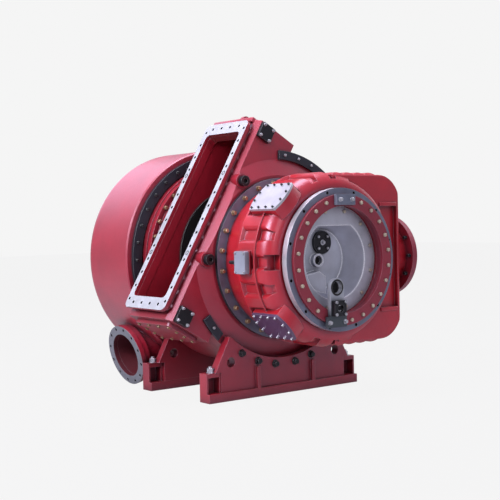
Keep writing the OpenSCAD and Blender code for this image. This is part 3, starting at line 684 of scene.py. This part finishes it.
def add_lathe(bm, place, profile):
    """Turns a closed profile of radius and height round local z."""
    points = [bm.verts.new(place @ Vector((r, 0.0, z))) for r, z in profile]
    edges = [bm.edges.new(pair) for pair in zip(points, points[1:] + points[:1])]
    bmesh.ops.spin(bm, geom=points + edges, cent=place.translation, axis=local_z(place),
                   angle=2.0 * math.pi, steps=LATHE_STEPS, use_merge=True)


def ring_profile(inner, outer, low, high):
    """Section of a flat ring, for add_lathe."""
    return [(inner, low), (outer, low), (outer, high), (inner, high)]


def add_arc(bm, place, radius, tube, start, sweep):
    """A bent bar round local z, closed at both ends."""
    section = (place @ Matrix.Rotation(math.radians(start), 4, "Z") @ Matrix.Translation((radius, 0, 0))
               @ Matrix.Rotation(math.radians(90.0), 4, "X"))
    end = bmesh.ops.create_circle(bm, cap_ends=True, segments=ARC_SIDES, radius=tube, matrix=section)
    verts = set(end["verts"])
    geom = end["verts"] + edges_of(bm, verts) + faces_at(bm, verts, section, 0.0)
    bmesh.ops.spin(bm, geom=geom, cent=place.translation, axis=local_z(place),
                   angle=math.radians(sweep), steps=ARC_STEPS)


def add_bar(bm, place, size, rim):
    """A flat bar with rounded edges, centred on its place."""
    bar = bmesh.ops.create_cube(bm, size=1.0, matrix=place @ Matrix.Diagonal((*size, 1.0)))
    bmesh.ops.bevel(bm, geom=edges_of(bm, set(bar["verts"])), offset=rim, affect="EDGES", segments=3,
                    profile=0.5, material=-1)


def fit_heads(name, places, key, flats, height, washer=0.0):
    """One piece with a hexagon head at each place."""
    bm = bmesh.new()
    for place in places:
        add_hex_head(bm, place, flats, height, washer)
    new_piece(name, bm, key)


def repaint(name, key, wanted):
    """Gives the faces that pass a test another finish."""
    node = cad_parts[name]
    node.data.materials.append(MATERIALS[key])
    last = len(node.data.materials) - 1
    to_world = node.matrix_world
    turn = to_world.to_3x3()
    for poly in node.data.polygons:
        if wanted(to_world @ poly.center, (turn @ poly.normal).normalized()):
            poly.material_index = last


# Operators


class TURBO_OT_finishes(bpy.types.Operator):
    """Makes the paints and metals and gives each casting its own."""

    bl_idname = "turbo.finishes"
    bl_label = "Paint the castings"

    def execute(self, context):
        colours = context.scene.turbo_colours
        self.paints(colours)
        self.cast_metals(colours)
        self.machined_metals(colours)
        self.coat_castings()
        self.outlet_flange()
        self.duct_lining()
        self.compressor_flange()
        self.front_ring()
        return {"FINISHED"}

    def paints(self, colours):
        maroon = tuple(colours.maroon)
        MATERIALS.update({
            "maroon": paint("maroon_paint", maroon, rough=0.40, coat=0.30, coat_rough=0.36),
            # Painted shade: a darker copy of the maroon paint for parts that lie in shade.
            "shaded_maroon": paint("shaded_maroon_paint", scaled(maroon, 0.8), rough=0.44, coat=0.08),
            "duct_red": paint("duct_lining_paint", srgb(124, 26, 22), rough=0.62, coat=0.0),
            # Painted shade: a darker, dull red for the compressor outlet's bore, which lies in shade.
            "bore_shade": paint("compressor_bore_painted_shade", srgb(84, 18, 20), rough=0.62, coat=0.0),
            "red": paint("red_paint", tuple(colours.red), rough=0.36, coat=0.20, coat_rough=0.22),
            "crimson": paint("crimson_paint", tuple(colours.crimson), rough=0.42, grain=0.6, coat=0.70,
                             coat_rough=0.44),
            "violet": paint("violet_cover_paint", srgb(74, 52, 84), rough=0.42, grain=0.4),
        })

    def cast_metals(self, colours):
        MATERIALS.update({
            "slate": cast_metal("slate_steel", tuple(colours.slate), rough=0.42, metallic=0.45, grain=0.5),
            "black": cast_metal("black_oxide", srgb(34, 35, 40), rough=0.36, metallic=0.5, grain=0.4),
            # Sooted iron for the heat shield, also used as painted shade in holes, in the pipe socket and
            # in the oil port.
            "soot_and_hole_shade": cast_metal("sooted_iron_and_hole_shade", srgb(20, 20, 23), rough=0.62, metallic=0.3, grain=1.4,
                               edge_wear_and_highlight=0.55),
            # Aluminium: its full-strength, strongly lifted edges are painted highlights along the fillets.
            "aluminium": cast_metal("cast_aluminium", srgb(186, 190, 202), rough=0.44, metallic=0.30,
                                    grain=0.5, edge=0.014, edge_wear_and_highlight=1.0, wear_and_highlight_lift=0.62),
            "grey_box": cast_metal("sensor_box_grey", srgb(150, 156, 172), rough=0.42, metallic=0.4,
                                   grain=0.5),
            "bracket": self.bracket_metal_with_painted_shade(),
        })

    def machined_metals(self, colours):
        MATERIALS.update({
            "ring": metal("turned_ring_steel", tuple(colours.ring_grey), rough=0.42, metallic=0.35),
            "flange": metal("milled_flange_face", srgb(170, 174, 181), rough=0.55, metallic=0.2,
                            pitch=300.0),
            "bright": metal("bright_cover_plate", srgb(172, 173, 182), rough=0.40, metallic=0.40,
                            pitch=260.0),
            "face_grey": metal("milled_grey_face", srgb(118, 121, 130), rough=0.46, metallic=0.4,
                               pitch=300.0),
            # Polished steel whose brighter colour is also a painted highlight on the front ring's outer
            # rim.
            "rim_polish_and_highlight": metal("polished_ring_rim_and_painted_highlight", srgb(214, 218, 228), rough=0.34, metallic=0.7, bump=0.0),
            "bronze": bolt_metal("passivated_bolts", tuple(colours.bronze), rough=0.34, metallic=0.8),
            "gold": bolt_metal("brown_passivated_nuts", srgb(158, 132, 104), rough=0.36, metallic=0.8),
            "zinc": bolt_metal("zinc_bolts", srgb(186, 188, 196), rough=0.3, metallic=0.85),
        })

    def bracket_metal_with_painted_shade(self):
        """Bare metal with painted shade that darkens it towards the foot of the bracket."""
        mat = cast_metal("bracket_metal_with_painted_shade", srgb(176, 181, 192), rough=0.44, metallic=0.45, grain=0.5,
                         edge_wear_and_highlight=0.6)
        nodes, links = mat.node_tree.nodes, mat.node_tree.links
        shader = next(n for n in nodes if n.type == "BSDF_PRINCIPLED")
        bare = shader.inputs["Base Color"].links[0].from_socket
        split = nodes.new("ShaderNodeSeparateXYZ")
        links.new(nodes.new("ShaderNodeTexCoord").outputs["Object"], split.inputs["Vector"])
        height = ramp(nodes, links, split.outputs["Z"], *BRACKET_SHADE_FADE)
        # Painted shade: dark grey at the foot, fading to the bare metal higher up.
        links.new(mix_colour(nodes, links, height, srgb(70, 78, 84), bare), shader.inputs["Base Color"])
        return mat

    def coat_castings(self):
        """Gives each node its main finish."""
        worn_by = {
            "maroon": ("gas_outlet_casing", "belly_plate", "lifting_eye", "bearing_casing",
                       "front_foot_plate", "front_foot_sole"),
            "shaded_maroon": ("rear_foot_plate", "rear_foot_sole", "cover_ring", "gas_inlet_flange"),
            "red": ("gas_inlet_casing",),
            "crimson": ("compressor_volute", "compressor_outlet_neck", "compressor_outlet_flange",
                        "intake_cover"),
            "slate": ("clamp_strip_upper", "clamp_strip_lower", "volute_clamp_ring"),
            "black": ("square_cover_upper", "square_cover_lower", "plug_upper", "plug_lower",
                      "cable_gland", "oil_plate", "connector_block"),
            "soot_and_hole_shade": ("heat_shield",),
            "ring": ("joint_ring", "front_flange_ring", "top_bracket"),
            "flange": ("gas_outlet_flange",),
            "bright": ("oval_cover_upper",),
            "violet": ("oval_cover_lower",),
            "aluminium": ("bearing_cover",),
            "bracket": ("sensor_bracket",),
            "grey_box": ("sensor_box",),
        }
        for key, names in worn_by.items():
            for name in names:
                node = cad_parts[name]
                node.data.materials.clear()
                node.data.materials.append(MATERIALS[key])

    def outlet_flange(self):
        """Only the flange's face is bare; its rim is painted and its holes get painted shade."""
        inverse = duct_place().inverted()
        out = (duct_place().to_3x3() @ Vector((1, 0, 0))).normalized()
        holes = grid((-FLANGE_SIDE, FLANGE_SIDE), centred(SIDE_HOLES, FLANGE_PITCH))
        holes += grid(centred(END_HOLES, FLANGE_PITCH), (-FLANGE_END, FLANGE_END))

        def in_hole(centre):
            at = inverse @ centre
            return any(math.hypot(at.z + OUTLET_MID_Y - z, at.y - y) < FLANGE_HOLE_R for z, y in holes)

        repaint("gas_outlet_flange", "maroon", lambda c, n: n.dot(out) < FACES_OUT and not in_hole(c))
        repaint("gas_outlet_flange", "soot_and_hole_shade", lambda c, n: n.dot(out) < FACES_OUT and in_hole(c))

    def duct_lining(self):
        """The inside of the gas outlet has a dull, browner paint."""
        inverse = duct_place().inverted()

        def inside(centre):
            at = inverse @ centre
            return all(low < v < high for low, v, high in zip(DUCT_LOW, at, DUCT_HIGH))

        for name in ("gas_outlet_casing", "gas_outlet_flange"):
            repaint(name, "duct_red", lambda c, n: inside(c))

    def compressor_flange(self):
        """The compressor outlet's face is bare, its bore dull with painted shade and its holes dark with
        painted shade.
        """
        out = Vector((-math.cos(COMPRESSOR_DROP), 0.0, -math.sin(COMPRESSOR_DROP)))
        first, last = COMPRESSOR_HOLES

        def off_axis(centre):
            away = centre - COMPRESSOR_FACE
            return (away - out * away.dot(out)).length

        repaint("compressor_outlet_flange", "face_grey", lambda c, n: n.dot(out) > FACES_OUT)
        repaint("compressor_outlet_flange", "soot_and_hole_shade",
                lambda c, n: abs(n.dot(out)) < FACES_ASIDE and first < off_axis(c) < last)
        for name in ("compressor_outlet_flange", "compressor_outlet_neck"):
            repaint(name, "bore_shade", lambda c, n: n.dot(out) < FACES_OUT and off_axis(c) < COMPRESSOR_BORE)

    def front_ring(self):
        """Bore in the shaded maroon (painted shade), a polished rim brightened as a painted highlight and
        holes with painted shade; the joint ring behind it has a dark rim.
        """
        first, last = RING_HOLES

        def aside(normal):
            return abs(normal.y) < FACES_ASIDE

        def off_axis(centre):
            return math.hypot(centre.x, centre.z - AXIS_H)

        repaint("front_flange_ring", "shaded_maroon", lambda c, n: aside(n) and off_axis(c) < RING_BORE)
        repaint("front_flange_ring", "rim_polish_and_highlight", lambda c, n: aside(n) and off_axis(c) > RING_RIM)
        repaint("joint_ring", "slate", lambda c, n: aside(n))
        repaint("front_flange_ring", "soot_and_hole_shade", lambda c, n: aside(n) and first < off_axis(c) < last)


class TURBO_OT_ring_bolts(bpy.types.Operator):
    """Bolts round the front rings, the joint ring, the compressor end and the gas inlet."""

    bl_idname = "turbo.ring_bolts"
    bl_label = "Fit the ring bolts"

    def execute(self, context):
        s = context.scene.turbo_sizes
        free = [a for a in count_angles(s.cover_bolts, start=7.5)
                if not any(low < a % 360 < high for low, high in BRACKET_ARCS)]
        fit_heads("cover_ring_bolts", ring_on("cover_ring", COVER_BOLT_R, free), "bronze",
                  flats=s.ring_head, height=0.011)
        fit_heads("bearing_cover_bolts",
                  ring_on("bearing_cover", BEARING_BOLT_R, count_angles(12, start=15)), "bronze",
                  flats=s.ring_head * 0.9, height=0.010)
        fit_heads("joint_ring_nuts",
                  ring_on("joint_ring", JOINT_NUT_R, count_angles(s.joint_bolts, start=7.5)), "gold",
                  flats=s.ring_head * 1.15, height=0.018, washer=s.ring_head * 0.8)
        fit_heads("rear_flange_bolts",
                  ring_places(front_place(REAR_FLANGE_Y), REAR_BOLT_R, count_angles(36, start=5)), "gold",
                  flats=s.ring_head * 1.15, height=0.018)
        fit_heads("clamp_ring_bolts",
                  ring_on("volute_clamp_ring", CLAMP_BOLT_R, count_angles(36, start=0)), "black",
                  flats=s.small_head * 1.2, height=0.012, washer=s.small_head * 0.9)
        inlet_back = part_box("gas_inlet_flange")[0].x
        hub = (Matrix.Translation((inlet_back, middle_of("gas_inlet_flange").y, AXIS_H))
               @ Matrix.Rotation(math.radians(-90.0), 4, "Y"))
        fit_heads("gas_inlet_nuts", ring_places(hub, INLET_NUT_R, count_angles(12, start=0)), "black",
                  flats=s.ring_head, height=0.020)
        return {"FINISHED"}


class TURBO_OT_cover_bolts(bpy.types.Operator):
    """Screws of the covers, boxes, brackets and strips, and the pipe socket."""

    bl_idname = "turbo.cover_bolts"
    bl_label = "Fit the cover screws"

    def execute(self, context):
        s = context.scene.turbo_sizes
        self.oval_covers(s)
        self.square_covers(s)
        self.strips(s)
        self.brackets(s)
        self.connector()
        self.oil_plate(s)
        self.pipe_socket()
        self.sensor()
        self.belly(s)
        self.jacking_holes()
        return {"FINISHED"}

    def oval_covers(self, s):
        spots = grid(OVAL_SIDES_X, OVAL_SIDES_Y) + corners(*OVAL_ENDS)
        for name, angle, key in (("oval_cover_upper", 136.5, "black"), ("oval_cover_lower", 223.5, "zinc")):
            face = side_place(angle, middle_of(name).y, OVAL_REACH)
            fit_heads(name + "_screws", [shifted(face, x, y) for x, y in spots], key,
                      flats=s.small_head, height=0.009)

    def square_covers(self, s):
        face = shifted(duct_place(), SQUARE_ALONG, 0.0, -front_of("square_cover_upper"))
        places = [shifted(face, x, across + y) for across in (-SQUARE_ACROSS, SQUARE_ACROSS)
                  for x, y in corners(SQUARE_SCREW, SQUARE_SCREW)]
        fit_heads("square_cover_screws", places, "zinc", flats=s.small_head * 1.1, height=0.011,
                  washer=s.small_head * 0.8)

    def strips(self, s):
        fit_heads("clamp_strip_bolts", ring_on("clamp_strip_upper", STRIP_BOLT_R, STRIP_ANGLES), "zinc",
                  flats=s.small_head * 1.2, height=0.010)

    def brackets(self, s):
        face = front_place(front_of("top_bracket"))
        fit_heads("bracket_bolts", [shifted(face, x, z) for x, z in BRACKET_BOLTS], "zinc",
                  flats=s.ring_head, height=0.012, washer=0.015)

    def connector(self):
        bm = bmesh.new()
        face = node_place("connector_block")
        for x, z in corners(CONNECTOR_SCREW, CONNECTOR_SCREW):
            add_socket_head(bm, shifted(face, x, z), radius=0.0085, height=0.010)
        add_arc(bm, shifted(face, 0, 0, -CONNECTOR_SINK), radius=0.0175, tube=0.0035, start=60.0,
                sweep=250.0)
        new_piece("connector_screws", bm, "zinc")

    def oil_plate(self, s):
        bm = bmesh.new()
        face = node_place("oil_plate")
        for x, z in corners(OIL_SCREW, OIL_SCREW):
            add_hex_head(bm, shifted(face, x, z), flats=s.small_head * 1.1, height=0.011)
        add_hex_head(bm, face, flats=s.small_head * 1.4, height=0.014, washer=0.018)
        new_piece("oil_plate_screws", bm, "zinc")

    def pipe_socket(self):
        # Painted shade: the socket's dark cup and the dark disc in the oil port stand for shade in their
        # openings.
        bm = bmesh.new()
        ring_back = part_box("front_flange_ring")[1].y
        eye = shifted(front_place(ring_back), middle_of("sensor_bracket").x, EYE_DROP)
        add_lathe(bm, eye, [(POLE_R, SOCKET_FOOT), (SOCKET_R, SOCKET_FOOT), (SOCKET_R, SOCKET_TOP),
                            (SOCKET_BORE, SOCKET_TOP), (SOCKET_BORE, SOCKET_FLOOR), (POLE_R, SOCKET_FLOOR)])
        add_disc(bm, shifted(front_place(OIL_PORT_Y), *OIL_PORT), radius=0.0295, height=0.003)
        add_lathe(bm, eye, ring_profile(inner=0.0386, outer=0.0500, low=0.0880, high=0.0890))
        new_piece("pipe_socket", bm, "soot_and_hole_shade")
        bm = bmesh.new()
        for z in THREAD_TURNS:
            add_lathe(bm, eye, [(THREAD_CREST, z), (THREAD_R, z - THREAD_HALF),
                                (THREAD_R, z + THREAD_HALF)])
        new_piece("pipe_socket_thread", bm, "zinc")

    def sensor(self):
        middle = middle_of("sensor_box")
        face = side_place(180.0, middle.y, -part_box("sensor_box")[0].x)
        bm = bmesh.new()
        for x, y in corners(*SENSOR_SCREWS):
            add_socket_head(bm, shifted(face, x, y), radius=0.0075, height=0.006)
        new_piece("sensor_box_screws", bm, "zinc")
        end = side_place(180.0, middle.y, -middle.x) @ Matrix.Rotation(math.radians(90.0), 4, "Y")
        fit_heads("gland_nut", [shifted(end, 0, 0, SENSOR_NUT)], "black", flats=0.032, height=0.016)

    def belly(self, s):
        under = (shifted(duct_place(), BELLY_ALONG, BELLY_ACROSS, -middle_of("belly_plate").y)
                 @ Matrix.Rotation(math.radians(-90.0), 4, "X"))
        spots = grid(BELLY_SIDES_X, BELLY_SIDES_Y) + corners(*BELLY_ENDS)
        fit_heads("belly_plate_bolts", [shifted(under, x, y) for x, y in spots], "gold",
                  flats=s.ring_head * 0.9, height=0.009)

    def jacking_holes(self):
        bm = bmesh.new()
        for depth, across in corners(FLANGE_SIDE, 3 * FLANGE_PITCH):
            add_lathe(bm, outlet_place(across, depth - OUTLET_MID_Y),
                      ring_profile(inner=0.010, outer=0.015, low=0.0, high=0.0012))
        new_piece("jacking_holes", bm, "black")


class TURBO_OT_cast_trims(bpy.types.Operator):
    """Cast lips: over the gas outlet, and at both ends of the inlet casing's right panel."""

    bl_idname = "turbo.cast_trims"
    bl_label = "Add the cast lips"

    def execute(self, context):
        bm = bmesh.new()
        add_bar(bm, shifted(duct_place(), *OUTLET_LIP_AT), OUTLET_LIP, rim=0.008)
        new_piece("outlet_top_lip", bm, "maroon")
        bm = bmesh.new()
        for z in (-PANEL_TOP, PANEL_TOP):
            add_bar(bm, shifted(front_place(PANEL_LIP_Y), PANEL_MID_X, z), PANEL_LIP, rim=0.0024)
        new_piece("inlet_panel_lips", bm, "red")
        return {"FINISHED"}


class TURBO_OT_foot_bolts(bpy.types.Operator):
    """Bolts through the front foot and the hold-down bolts of both feet."""

    bl_idname = "turbo.foot_bolts"
    bl_label = "Fit the foot bolts"

    def execute(self, context):
        s = context.scene.turbo_sizes
        fit_heads("foot_plate_bolts", ring_places(front_place(FOOT_PAD_Y), FOOT_BOLT_R, FOOT_ANGLES),
                  "black", flats=s.big_head, height=0.020, washer=s.big_head * 0.75)
        bm = bmesh.new()
        ear_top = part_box("front_foot_sole")[1].z
        for x, y in grid((-EAR_X, EAR_X), EAR_Y):
            top = Matrix.Translation((x, y, ear_top))
            add_hex_head(bm, top, flats=s.big_head * 1.1, height=0.024, washer=s.big_head * 0.85)
            add_disc(bm, shifted(top, 0, 0, BOLT_END), radius=0.012, height=0.014)
        new_piece("hold_down_bolts", bm, "zinc")
        return {"FINISHED"}


class TURBO_OT_stage(bpy.types.Operator):
    """Floor, lights and camera."""

    bl_idname = "turbo.stage"
    bl_label = "Set the studio"

    def execute(self, context):
        scene = context.scene
        self.floor(scene)
        self.world(scene)
        for lamp in LAMPS:
            self.lamp(scene, **lamp)
        self.camera(scene)
        scene.view_settings.view_transform = "Standard"
        return {"FINISHED"}

    def floor(self, scene):
        bm = bmesh.new()
        bmesh.ops.create_grid(bm, x_segments=2, y_segments=2, size=FLOOR_HALF)
        mesh = bpy.data.meshes.new("studio_floor")
        bm.to_mesh(mesh)
        bm.free()
        floor = bpy.data.objects.new("studio_floor", mesh)
        floor.location = (0.0, 0.0, FLOOR_Z)
        scene.collection.objects.link(floor)
        mesh.materials.append(self.floor_material())

    def floor_material(self):
        """Grey to the lamps, and nearly the backdrop's colour to the camera."""
        mat, nodes, links, shader = blank_material("studio_floor")
        shader.inputs["Base Color"].default_value = (0.40, 0.39, 0.40, 1.0)
        shader.inputs["Roughness"].default_value = 0.9
        out = next(n for n in nodes if n.type == "OUTPUT_MATERIAL")
        glow = nodes.new("ShaderNodeEmission")
        glow.inputs["Color"].default_value = BACKDROP
        mix = nodes.new("ShaderNodeMixShader")
        seen = math_node(nodes, links, "MULTIPLY", backdrop_share(nodes, links), FLOOR_BACKDROP)
        links.new(seen, mix.inputs[0])
        links.new(shader.outputs["BSDF"], mix.inputs[1])
        links.new(glow.outputs["Emission"], mix.inputs[2])
        links.new(mix.outputs["Shader"], out.inputs["Surface"])
        return mat

    def world(self, scene):
        """A sky that pales upwards, behind the plain backdrop that the camera sees."""
        world = bpy.data.worlds.new("studio_world")
        scene.world = world
        world.use_nodes = True
        nodes, links = world.node_tree.nodes, world.node_tree.links
        nodes.clear()
        out = nodes.new("ShaderNodeOutputWorld")
        soft = nodes.new("ShaderNodeBackground")
        split = nodes.new("ShaderNodeSeparateXYZ")
        links.new(nodes.new("ShaderNodeTexCoord").outputs["Generated"], split.inputs["Vector"])
        height = ramp(nodes, links, split.outputs["Z"], low=-0.1, high=0.9)
        links.new(mix_colour(nodes, links, height, SKY_LOW, SKY_HIGH), soft.inputs["Color"])
        plain = nodes.new("ShaderNodeBackground")
        plain.inputs["Color"].default_value = BACKDROP
        mix = nodes.new("ShaderNodeMixShader")
        links.new(backdrop_share(nodes, links), mix.inputs[0])
        links.new(soft.outputs["Background"], mix.inputs[1])
        links.new(plain.outputs["Background"], mix.inputs[2])
        links.new(mix.outputs["Shader"], out.inputs["Surface"])

    def lamp(self, scene, name, at, target, size, watts, colour):
        data = bpy.data.lights.new(name, "AREA")
        data.shape = "SQUARE"
        data.size = size
        data.energy = watts
        data.color = colour
        obj = bpy.data.objects.new(name, data)
        obj.location = at
        aim = Vector(target) - Vector(at)
        obj.rotation_euler = aim.to_track_quat("-Z", "Y").to_euler()
        obj.visible_camera = False
        scene.collection.objects.link(obj)

    def camera(self, scene):
        data = bpy.data.cameras.new("photo_camera")
        data.sensor_width = CAMERA_SENSOR
        data.lens = CAMERA_LENS
        data.clip_end = CAMERA_FAR
        obj = bpy.data.objects.new("photo_camera", data)
        right = Vector(CAMERA_RIGHT).normalized()
        up = Vector(CAMERA_BACK).cross(right).normalized()
        back = right.cross(up)
        turn = Matrix((right, up, back)).transposed().to_4x4()
        obj.matrix_world = Matrix.Translation(CAMERA_AT) @ turn
        scene.collection.objects.link(obj)
        scene.camera = obj


class TURBO_PT_panel(bpy.types.Panel):
    """Lists the sizes, colours and steps."""

    bl_label = "Marine turbocharger"
    bl_idname = "TURBO_PT_panel"
    bl_space_type = "VIEW_3D"
    bl_region_type = "UI"
    bl_category = "Turbocharger"

    def draw(self, context):
        layout = self.layout
        for group in (context.scene.turbo_sizes, context.scene.turbo_colours):
            box = layout.box()
            for name in group.__annotations__:
                box.prop(group, name)
        for step in STEPS:
            layout.operator(step.bl_idname)


STEPS = (
    TURBO_OT_finishes,
    TURBO_OT_ring_bolts,
    TURBO_OT_cover_bolts,
    TURBO_OT_cast_trims,
    TURBO_OT_foot_bolts,
    TURBO_OT_stage,
)
CLASSES = (TurboSizes, TurboColours, *STEPS, TURBO_PT_panel)


def register():
    for cls in CLASSES:
        bpy.utils.register_class(cls)
    bpy.types.Scene.turbo_sizes = PointerProperty(type=TurboSizes)
    bpy.types.Scene.turbo_colours = PointerProperty(type=TurboColours)


def unregister():
    del bpy.types.Scene.turbo_colours
    del bpy.types.Scene.turbo_sizes
    for cls in reversed(CLASSES):
        bpy.utils.unregister_class(cls)


def main():
    register()
    bpy.ops.turbo.finishes()
    bpy.ops.turbo.ring_bolts()
    bpy.ops.turbo.cover_bolts()
    bpy.ops.turbo.cast_trims()
    bpy.ops.turbo.foot_bolts()
    bpy.ops.turbo.stage()


if __name__ == "__main__":
    main()
